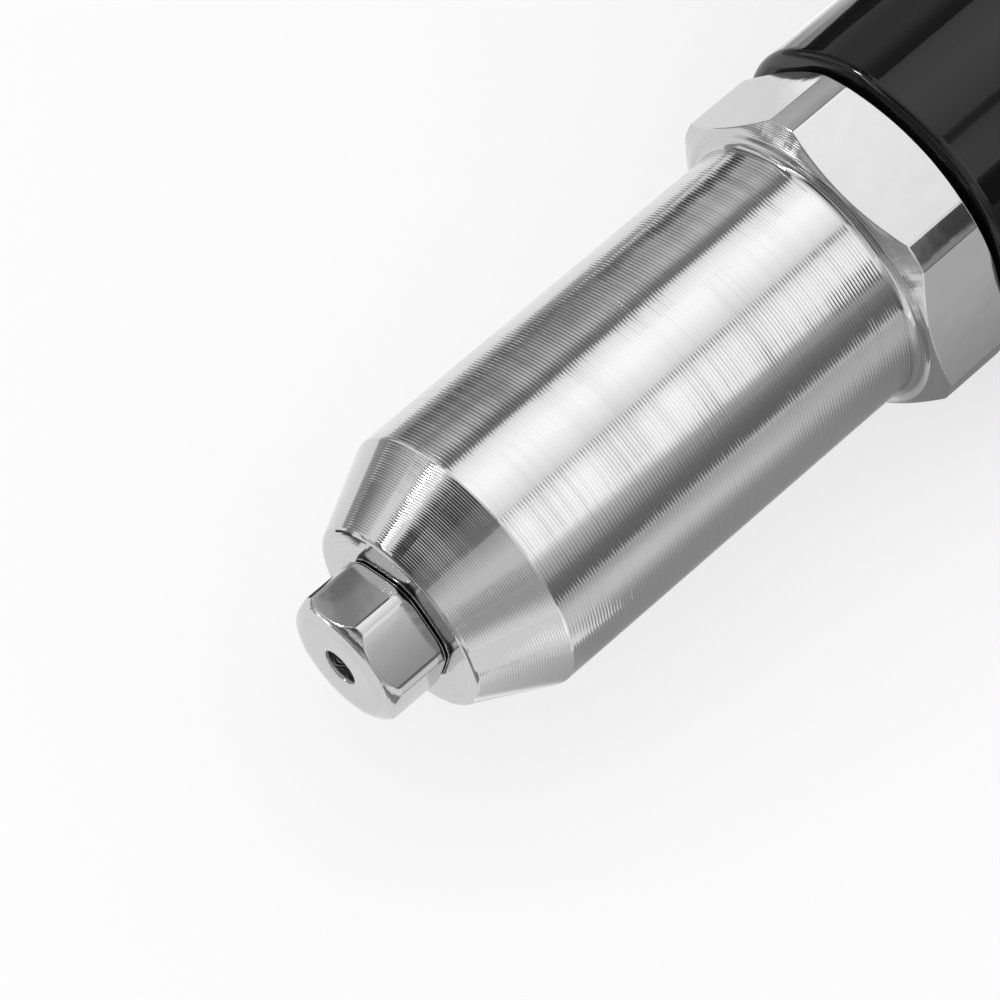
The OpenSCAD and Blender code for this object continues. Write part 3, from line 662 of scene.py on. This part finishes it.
flat_finish = bright_plate("milled_flats", 0.65, 0.10, 0.03, 3.0)
nose_finish = bright_plate("plated_nose", 0.585, 0.12, 0.03, 3.5)
# Painted reflection: a dark finish for the thin line where the nosepiece's flats meet the turned corners, in
# place of the dark reflection along that edge.
painted_edge_line = bright_plate("painted_dark_edge", 0.12, 0.25, 0.01, 1.0)
# Painted shade: the nosepiece's back cut and lip are painted near-black, standing in for the shade in the
# gap against the sleeve.
gap_finish = bright_plate("painted_gap_shade", 0.05, 0.35, 0.03, 0.6)
mouth_finish = bright_plate("drilled_mouth", 0.58, 0.40, 0.22, 0.40, 0.05, metal=0.25)
print("plate finishes:", [paint.name for paint in (
    flat_finish, nose_finish, painted_edge_line, gap_finish, mouth_finish)])

# %% [markdown]
# The front sleeve is one bar of steel: a cone, a long cylinder, a small fillet and a hexagon for a
# spanner. Its back end is a spigot that screws into the barrel. Each stretch has its own finish, so the
# outline carries them.

# %% Front sleeve
SLEEVE_D, FACE_D, CONE_L = 24.0, 17.0, 7.0
FRONT_WALL, SPIGOT_R, SPIGOT_BORE_R, UNDERCUT = 8.0, 11.5, 9.0, 0.5
THREAD_HOLE_R = 4.03
FLANGE = (27.0, 29.8, 10.95)
FILLET_R, RIM_W = 0.8, 0.4
FLANGE_FRONT, FLANGE_BACK = 45.0, 53.0
CHAMFER_SLOPE = math.tan(math.radians(30))
spigot_end = front_x - low("front_sleeve").x


def sleeve_outline(angle):
    """The sleeve's skin at one angle, from the front hole outwards, back and home by the bore."""
    cone, cylinder, face, flats, chamfer, hidden = range(6)
    r = SLEEVE_D / 2
    rim = r + FILLET_R + RIM_W
    skin = hexagon_radius(angle, FLANGE, 0.03)
    rise = (skin - rim) * CHAMFER_SLOPE
    neck, neck_end = SPIGOT_R - UNDERCUT, FLANGE_BACK + 1
    return [
        corner(0, THREAD_HOLE_R, 0.1, face), corner(0, FACE_D / 2, 0.4, cone),
        corner(CONE_L, r, 0.12, cylinder),
        *arc(FLANGE_FRONT - FILLET_R, r + FILLET_R, FILLET_R, 180, 90, 8, chamfer),
        corner(FLANGE_FRONT, rim, 0.06, chamfer), corner(FLANGE_FRONT + rise, skin, 0.1, flats),
        corner(FLANGE_BACK - rise, skin, 0.1, chamfer), corner(FLANGE_BACK, rim, 0.06, hidden),
        corner(FLANGE_BACK, neck, 0.1, hidden), corner(neck_end, neck, 0.1, hidden),
        corner(neck_end, SPIGOT_R, 0.1, hidden), corner(spigot_end - UNDERCUT, SPIGOT_R, 0.05, hidden),
        corner(spigot_end, neck, 0.05, hidden), corner(spigot_end, SPIGOT_BORE_R, 0.1, hidden),
        corner(FRONT_WALL, SPIGOT_BORE_R, 0.1, hidden), corner(FRONT_WALL, THREAD_HOLE_R, 0.1, hidden)]


spin("front_sleeve_turned", sleeve_outline, on_tool, hexagon_angles(240, FLANGE),
     [cone_finish, cylinder_finish, face_finish, flat_finish, chamfer_finish, face_finish],
     "housing", "front_sleeve")

# %% [markdown]
# The nosepiece is a short hexagon with a hole for the rivet's mandrel. Its front is flat round the hole
# and then falls away in a turned crown, steeper towards the corners. A small cut at its back leaves a
# real gap against the sleeve, and the cut is painted near-black as painted shade, which makes the thin
# dark line. Behind it are its thread and the tail that holds the jaws open.

# %% Nosepiece
NOSE = (10.6, 11.7, 40.8)
CROWN_START, CROWN_RISE, CROWN_POWER, CROWN_STEPS, PLATED_STEPS = 3.2, 0.0149, 4.5, 7, 3
MANDREL_R, NOSE_THREAD_R, TAIL_R, TAIL_CHAMFER = 1.6, 4.0, 3.3, 0.8
BACK_CUT, CORNER_CUT, LIP, LIP_GAP, LIP_W = 0.3, 0.25, 0.2, 0.12, 0.5
nose_tip = front_x - high("nosepiece").x
nose_tail = front_x - low("nosepiece").x


def crown(radius):
    """How far the nosepiece's rounded front has fallen back at a radius."""
    return CROWN_RISE * (radius - CROWN_START) ** CROWN_POWER


def nose_outline(angle):
    """The nosepiece's skin at one angle, from the hole outwards, back and home through the hole."""
    plated, hole, crowned, gap, mouth, line = range(6)
    af, corner_d, _ = NOSE
    skin = hexagon_radius(angle, NOSE, 0.08)
    corner_share = (skin - af / 2) / (corner_d - af) * 2
    back = BACK_CUT + CORNER_CUT * max(corner_share, 0) ** 3
    rim = skin - (back - LIP) * 0.9
    radii = [CROWN_START + (skin - CROWN_START) * i / CROWN_STEPS for i in range(CROWN_STEPS)]
    front = [corner(nose_tip + crown(r), r, 0, crowned if i > PLATED_STEPS else plated)
             for i, r in enumerate(radii)]
    # Near each edge the flat takes the dark finish: a painted reflection along the edge.
    side = line if on_edge_line(angle, NOSE) else plated
    thread_end = FRONT_WALL - 0.1
    return [
        corner(nose_tip, MANDREL_R, 0.12, plated), *front,
        # The back cut and the lip take the near-black finish: painted shade in the gap against the sleeve.
        corner(nose_tip + crown(skin), skin, 0.12, side), corner(-back, skin, 0.05, gap),
        corner(-LIP, rim, 0.02, plated), corner(-LIP_GAP, rim, 0.02, gap),
        corner(-LIP_GAP, rim - LIP_W, 0.0, gap), corner(0, rim - LIP_W, 0.0, hole),
        corner(0, NOSE_THREAD_R, 0.0, hole), corner(thread_end, NOSE_THREAD_R, 0.1, hole),
        corner(thread_end, TAIL_R, 0.0, hole), corner(nose_tail - TAIL_CHAMFER, TAIL_R, 0.1, hole),
        corner(nose_tail, TAIL_R - TAIL_CHAMFER, 0.1, hole), corner(nose_tail, MANDREL_R, 0.1, hole),
        corner(nose_tip + 0.3, MANDREL_R, 0.0, mouth)]


spin("nosepiece_plated", nose_outline, on_tool, hexagon_angles(144, NOSE),
     [nose_finish, hole_finish, crown_finish, gap_finish, mouth_finish, painted_edge_line],
     "housing", "nosepiece")

# %% [markdown]
# The cover is black enamel on steel. Almost everything that shows on it is mirrored, so the finish is a
# smooth dark shell with the faint skin that paint has.

# %% Black enamel
PEEL_SCALE, PEEL_SPREAD = 900.0, 0.02


def black_enamel(name, colour, rough, skin_height):
    """Glossy black paint with a faint orange peel."""
    paint, tree = blank_material(name)
    peel = noise(tree, add(tree, "TexCoord").outputs["Object"], PEEL_SCALE, 2.0)
    main_shader(tree, grey(colour), 0.0, varied(tree, rough, PEEL_SPREAD, peel),
                bump(tree, peel, skin_height), IOR=1.42)
    return paint


enamel = black_enamel("black_enamel", 0.005, 0.06, 0.003)
print("cover finish:", enamel.name)

# %% [markdown]
# The side handle is a moulded grip on a threaded stud, held by a jam nut. The mould's inside is etched,
# which gives the plastic its grain. Small cells make that grain, and a slow cloud varies the gloss, as
# hands do in use. Stud and nut have a bright zinc coat, which is a little bluer and duller than
# polished steel.

# %% Moulded plastic
CLOUD_SCALE, CLOUD_SPREAD, WORN = 120.0, 0.08, 1.6
ZINC = (0.60, 0.62, 0.65)


def moulded_plastic(name, colour, grain_size, grain_depth, rough):
    """Black plastic with an etched grain. Sizes in millimetres."""
    plastic, tree = blank_material(name)
    spot = add(tree, "TexCoord").outputs["Object"]
    cells = add(tree, "TexVoronoi", {"Vector": spot, "Scale": 1 / (grain_size * MM)})
    cloud = noise(tree, spot, CLOUD_SCALE, 4.0)
    main_shader(tree, mixed(tree, cloud, colour, colour * WORN), 0.0,
                varied(tree, rough, CLOUD_SPREAD, cloud),
                bump(tree, cells.outputs["Distance"], grain_depth), IOR=1.5)
    return plastic


grip_finish = moulded_plastic("grip_plastic", 0.018, 0.45, 0.03, 0.5)
zinc_finish = bright_plate("bright_zinc", ZINC, 0.24, 0.006, 1.6, 0.002)
print("handle finishes:", grip_finish.name, zinc_finish.name)

# %% [markdown]
# The grip swells in the middle to fill the palm, and seven grooves give the fingers a hold. It could be
# sculpted, but its outline is a belly of a large radius, a guard, grooves at an even pitch and a knob,
# so it is spun from those sizes like the steel pieces. A mould comes apart in two halves, which leaves
# a fine line on each side.

# %% Grip
GRIP_D, BELLY_R, GUARD_D, KNOB_D = 25.0, 220.0, 28.0, 30.0
GUARD_T, KNOB_T, GROOVES, GROOVE_PITCH, GROOVE_R, GROOVE_H = 4.0, 8.0, 7, 8.0, 1.1, 0.66
GROOVE_SPREAD, GROOVE_STEPS = 66, 8
GRIP_THREAD_R, GRIP_MOUTH_R, MOUTH_L, THREAD_SPARE = 4.05, 4.65, 0.6, 0.4
DISH_R, DISH_FLOOR_R, DISH_H, DISH_MIDDLE_H = 9.5, 8.8, 0.7, 0.5
MOULD_LINE, MOULD_LINE_SIN = 0.12, 0.012
MOULD_EDGES = (-0.033, -0.031, -0.009, -0.007)
grip_start, grip_end = -high("handle_grip").y, -low("handle_grip").y
grip_middle = (grip_start + grip_end) / 2
stud_end = -low("handle_stud").y


def belly(height):
    """The grip's radius between its guard and its knob."""
    return GRIP_D / 2 - BELLY_R + math.sqrt(BELLY_R ** 2 - (height - grip_middle) ** 2)


def groove(middle):
    """The corners of one finger groove."""
    centre = belly(middle) + GROOVE_R - GROOVE_H
    corners = []
    for step in range(GROOVE_STEPS + 1):
        turn = math.radians(-GROOVE_SPREAD + 2 * GROOVE_SPREAD * step / GROOVE_STEPS)
        soft = 0.25 if step in (0, GROOVE_STEPS) else 0.0
        corners.append(corner(middle + GROOVE_R * math.sin(turn), centre - GROOVE_R * math.cos(turn), soft))
    return corners


def grip_outline(angle):
    """The grip's skin at one angle, from the end of its thread outwards and on to the knob."""
    rise = MOULD_LINE if abs(math.sin(angle)) < MOULD_LINE_SIN else 0.0
    thread_end = stud_end + THREAD_SPARE
    guard_end, knob_start = grip_start + GUARD_T, grip_end - KNOB_T
    points = [corner(thread_end, 0), corner(thread_end, GRIP_THREAD_R),
              corner(grip_start + MOUTH_L, GRIP_THREAD_R, 0.1), corner(grip_start, GRIP_MOUTH_R, 0.1),
              corner(grip_start, GUARD_D / 2, 1.2), corner(guard_end, GUARD_D / 2, 1.2),
              corner(guard_end, belly(guard_end) + rise, 1.4)]
    for i in range(GROOVES):
        middle = grip_middle + (i - (GROOVES - 1) / 2) * GROOVE_PITCH
        between = middle + GROOVE_PITCH / 2
        if i == GROOVES - 1:
            between = (knob_start + between) / 2
        points += [*groove(middle), corner(between, belly(between) + rise)]
    return points + [
        corner(knob_start, belly(knob_start) + rise, 1.6), corner(knob_start, KNOB_D / 2, 1.8),
        corner(grip_end, KNOB_D / 2, 2.6), corner(grip_end, DISH_R, 0.4),
        corner(grip_end - DISH_H, DISH_FLOOR_R, 0.4), corner(grip_end - DISH_MIDDLE_H, 0)]


grip_angles = sorted(even_angles(96) + [side + step for side in (0.02, math.pi + 0.02)
                                        for step in MOULD_EDGES])
spin("grip_moulded", grip_outline, on_handle, grip_angles, [grip_finish],
     "housing", "handle_grip", loop=False)

# %% [markdown]
# Small pips between the finger grooves keep the hand from slipping, and the stud carries a thread. Both
# follow a rule, which is work for geometry nodes. A recipe is a tree with named inputs. Its result is
# kept as a plain mesh, so that nothing is left to work out later.

# %% Recipes in geometry nodes
def recipe(name, inputs):
    """A geometry tree with named inputs. Gives the tree and the outputs of its input node."""
    tree = bpy.data.node_groups.new(name, "GeometryNodeTree")
    face = tree.interface
    face.new_socket("Geometry", in_out="INPUT", socket_type="NodeSocketGeometry")
    for label, kind, _ in inputs:
        face.new_socket(label, in_out="INPUT", socket_type="NodeSocket" + kind)
    face.new_socket("Geometry", in_out="OUTPUT", socket_type="NodeSocketGeometry")
    return tree, tree.nodes.new("NodeGroupInput").outputs


def grow(tree, kind, inputs=None):
    """Adds a geometry node and gives its first output."""
    return add(tree, kind, inputs, family="Geometry").outputs[0]


def round_handle(tree, height, radius, turn):
    """A place in metres about the handle's axis, from a height and a radius in millimetres."""
    calc = partial(math_node, tree)
    x = calc("ADD", calc("MULTIPLY", radius, calc("COSINE", turn)), handle_x)
    spot = joined(tree, x, calc("MULTIPLY", height, -1.0), calc("MULTIPLY", radius, calc("SINE", turn)))
    return add(tree, "VectorMath", {0: spot, "Scale": MM}, operation="SCALE").outputs[0]


def serve(tree, geometry, finish):
    """Paints the result of a recipe and joins it to the output."""
    painted = grow(tree, "SetMaterial", {"Geometry": geometry, "Material": finish})
    tree.links.new(painted, tree.nodes.new("NodeGroupOutput").inputs["Geometry"])
    return tree


def cook(name, tree, inputs, body):
    """Runs a recipe and keeps its result as a plain mesh."""
    pot = put(name + "_pot", bpy.data.meshes.new(name + "_pot"))
    modifier = pot.modifiers.new("recipe", "NODES")
    modifier.node_group = tree
    names = {item.name: item.identifier for item in tree.interface.items_tree if item.in_out == "INPUT"}
    for label, _, value in inputs:
        modifier[names[label]] = value
    seen = pot.evaluated_get(bpy.context.evaluated_depsgraph_get())
    mesh = bpy.data.meshes.new_from_object(seen)
    mesh.name = name
    bpy.data.objects.remove(pot)
    bm = bmesh.new()
    bm.from_mesh(mesh)
    close_skin(bm, mesh)
    piece = put(name, mesh)
    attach(piece, body)
    print(name, len(mesh.polygons), "faces")
    return piece


# %% [markdown]
# The pips are hundreds of copies of one bead in staggered rows. A cloud of points is sent to its rows
# by arithmetic on each point's number, a flat bead is set on every point, and the copies are made real
# at the end.

# %% Grip pips
def pip_rows(inputs):
    """Beads in staggered rows on the belly of the grip."""
    tree, given = recipe("pip_rows", inputs)
    calc = partial(math_node, tree)
    per_row, lands = given["Pips in a row"], given["Lands"]
    cloud = grow(tree, "Points", {"Count": calc("MULTIPLY", per_row, calc("MULTIPLY", lands, 2.0))})
    number = grow(tree, "InputIndex")
    row = calc("FLOOR", calc("DIVIDE", number, per_row))
    place = calc("MODULO", number, per_row)
    odd = calc("MODULO", row, 2.0)
    land = calc("FLOOR", calc("DIVIDE", row, 2.0))
    turn = calc("DIVIDE", calc("ADD", place, calc("MULTIPLY", odd, 0.5)), per_row)
    turn = calc("MULTIPLY", turn, 2 * math.pi)
    middle = calc("DIVIDE", calc("SUBTRACT", lands, 1.0), 2.0)
    off = calc("MULTIPLY", calc("SUBTRACT", land, middle), given["Land pitch"])
    off = calc("ADD", off, calc("MULTIPLY", calc("SUBTRACT", odd, 0.5), given["Row gap"]))
    arch = calc("SQRT", calc("SUBTRACT", BELLY_R ** 2, calc("MULTIPLY", off, off)))
    radius = calc("ADD", arch, GRIP_D / 2 - BELLY_R)
    spot = round_handle(tree, calc("ADD", off, grip_middle), radius, turn)
    placed = grow(tree, "SetPosition", {"Geometry": cloud, "Position": spot})
    bead = grow(tree, "MeshUVSphere", {"Segments": 8, "Rings": 6, "Radius": given["Pip radius"]})
    copies = grow(tree, "InstanceOnPoints", {
        "Points": placed, "Instance": bead,
        "Rotation": joined(tree, 0.0, calc("MULTIPLY", turn, -1.0), 0.0),
        "Scale": joined(tree, given["Pip height"], 1.0, 1.0)})
    real = grow(tree, "RealizeInstances", {0: copies})
    return serve(tree, grow(tree, "SetShadeSmooth", {0: real}), grip_finish)


pip_inputs = [("Pips in a row", "Int", 30), ("Lands", "Int", GROOVES - 1),
              ("Land pitch", "Float", GROOVE_PITCH), ("Row gap", "Float", 2.4),
              ("Pip radius", "Float", 0.75 * MM), ("Pip height", "Float", 0.5)]
cook("grip_pips", pip_rows(pip_inputs), pip_inputs, "housing")

# %% [markdown]
# A thread is a rule too: the radius rises and falls along a helix. A flat grid of points is rolled into
# a tube, and each point's radius comes from how far it is along the pitch. The two end rows close on
# the axis.

# %% Stud with its thread
THREAD_PITCH, ROWS_A_PITCH, CREST = 1.25, 8, 0.12


def threaded_rod(inputs):
    """A grid rolled into a rod with a thread along its whole length."""
    tree, given = recipe("threaded_rod", inputs)
    calc = partial(math_node, tree)
    grid = grow(tree, "MeshGrid", {"Size X": 1.0, "Size Y": 1.0, "Vertices X": given["Points round"],
                                   "Vertices Y": given["Rows"]})
    parts = add(tree, "SeparateXYZ", {0: grow(tree, "InputPosition")}).outputs
    around = calc("ADD", parts["X"], 0.5)
    along = calc("MULTIPLY", calc("ADD", parts["Y"], 0.5), given["Length"])
    turn = calc("FRACT", calc("SUBTRACT", calc("DIVIDE", along, given["Pitch"]), around))
    rise = calc("ABSOLUTE", calc("SUBTRACT", calc("MULTIPLY", turn, 2.0), 1.0))
    rise = calc("SMOOTH_MAX", rise, CREST)
    radius = calc("SUBTRACT", given["Radius"], calc("MULTIPLY", rise, given["Depth"]))
    inside = calc("LESS_THAN", calc("ABSOLUTE", parts["Y"]), 0.4999)
    spot = round_handle(tree, calc("ADD", along, given["Start"]), calc("MULTIPLY", radius, inside),
                        calc("MULTIPLY", around, 2 * math.pi))
    rolled = grow(tree, "SetPosition", {"Geometry": grid, "Position": spot})
    return serve(tree, grow(tree, "RealizeInstances", {0: rolled}), zinc_finish)


stud_start = -high("handle_stud").y
stud_length = stud_end - stud_start
rod_inputs = [("Points round", "Int", 49), ("Rows", "Int", round(stud_length / THREAD_PITCH * ROWS_A_PITCH)),
              ("Length", "Float", stud_length), ("Start", "Float", stud_start),
              ("Pitch", "Float", THREAD_PITCH), ("Radius", "Float", 4.0), ("Depth", "Float", 0.7)]
stud = cook("handle_stud_threaded", threaded_rod(rod_inputs), rod_inputs, "housing")
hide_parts("handle_stud")

# %% [markdown]
# The jam nut is a hexagon nut with a chamfer on each side. It is spun from the same kind of outline as
# the sleeve's hexagon, so the curved edges come out by themselves here too.

# %% Jam nut
JAM_AF = 13.0
JAM = (JAM_AF, JAM_AF / math.cos(SIXTH / 2) - 0.3, 0.0)
JAM_FACE_R, JAM_MOUTH_R, JAM_MOUTH_L = JAM_AF / 2 - 0.35, 4.5, 0.5
jam_start, jam_end = -high("handle_jam_nut").y, -low("handle_jam_nut").y


def jam_outline(angle):
    """The nut's skin at one angle, from its thread outwards and round."""
    skin = hexagon_radius(angle, JAM, 0.02)
    rise = (skin - JAM_FACE_R) * CHAMFER_SLOPE
    half = [(JAM_MOUTH_L, THREAD_HOLE_R, 0.05), (0, JAM_MOUTH_R, 0.05), (0, JAM_FACE_R, 0.1),
            (rise, skin, 0.12)]
    return ([corner(jam_start + depth, radius, soft) for depth, radius, soft in half]
            + [corner(jam_end - depth, radius, soft) for depth, radius, soft in reversed(half)])


spin("jam_nut_zinc", jam_outline, on_handle, hexagon_angles(96, JAM), [zinc_finish],
     "housing", "handle_jam_nut")

# %% [markdown]
# The other solids already have the right shape, so they keep it and get finishes of their own:
# machined, blackened, ground and polished steel, bronze for the nut and the bush, pressed brass for the
# ball cage. The marks run round the axis that each piece was turned on.

# %% Finishes of the solids
SOLID_STRETCH = 0.4
turned_solids = [
    ("machined_barrel", 0.50, 0.30, 0.006, 0.28, "tool", "barrel"),
    ("ground_shaft", 0.58, 0.08, 0.0008, 0.20, "tool", "lead_screw"),
    ("blackened_cap", 0.045, 0.22, 0.005, 0.30, "tool", "end_cap"),
    ("turned_zinc", ZINC, 0.20, 0.003, 0.24, "handle", "handle_socket"),
    ("blackened_steel", 0.20, 0.20, 0.004, 0.30, "tool", "jaw_case case_locknut"),
    ("machined_steel", 0.45, 0.22, 0.005, 0.26, "tool", "jaw_pusher draw_tube"),
    ("machined_bronze", (0.60, 0.42, 0.20), 0.22, 0.005, 0.26, "tool", "drive_nut rear_bush")]
plain_solids = [
    ("polished_bearing", 0.70, 0.08, 0.004, 3.0, "housing_washer bearing_balls shaft_washer"),
    ("pressed_brass", (0.66, 0.50, 0.25), 0.22, 0.01, 1.5, "bearing_cage"),
    ("jaw_steel", 0.35, 0.30, 0.01, 1.2, "jaw_1 jaw_2 jaw_3"),
    ("oiled_wire", 0.25, 0.22, 0.006, 0.8, "pusher_spring retaining_ring")]
finishes = {"body_cover": enamel}
for *look, way, names in turned_solids:
    finishes.update(dict.fromkeys(names.split(), turned_steel(*look, SOLID_STRETCH, way=way)))
for *look, names in plain_solids:
    finishes.update(dict.fromkeys(names.split(), bright_plate(*look)))
for name, finish in finishes.items():
    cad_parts[name].material_slots[0].material = finish
replaced = {"front_sleeve", "nosepiece", "handle_grip", "handle_stud", "handle_jam_nut"}
bare = set(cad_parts) - set(finishes) - replaced
print("solids with a finish:", len(finishes), "without:", sorted(bare))

# %% [markdown]
# A softened edge takes a little off a solid and adds nothing to it.

# %% End
print("scene built")
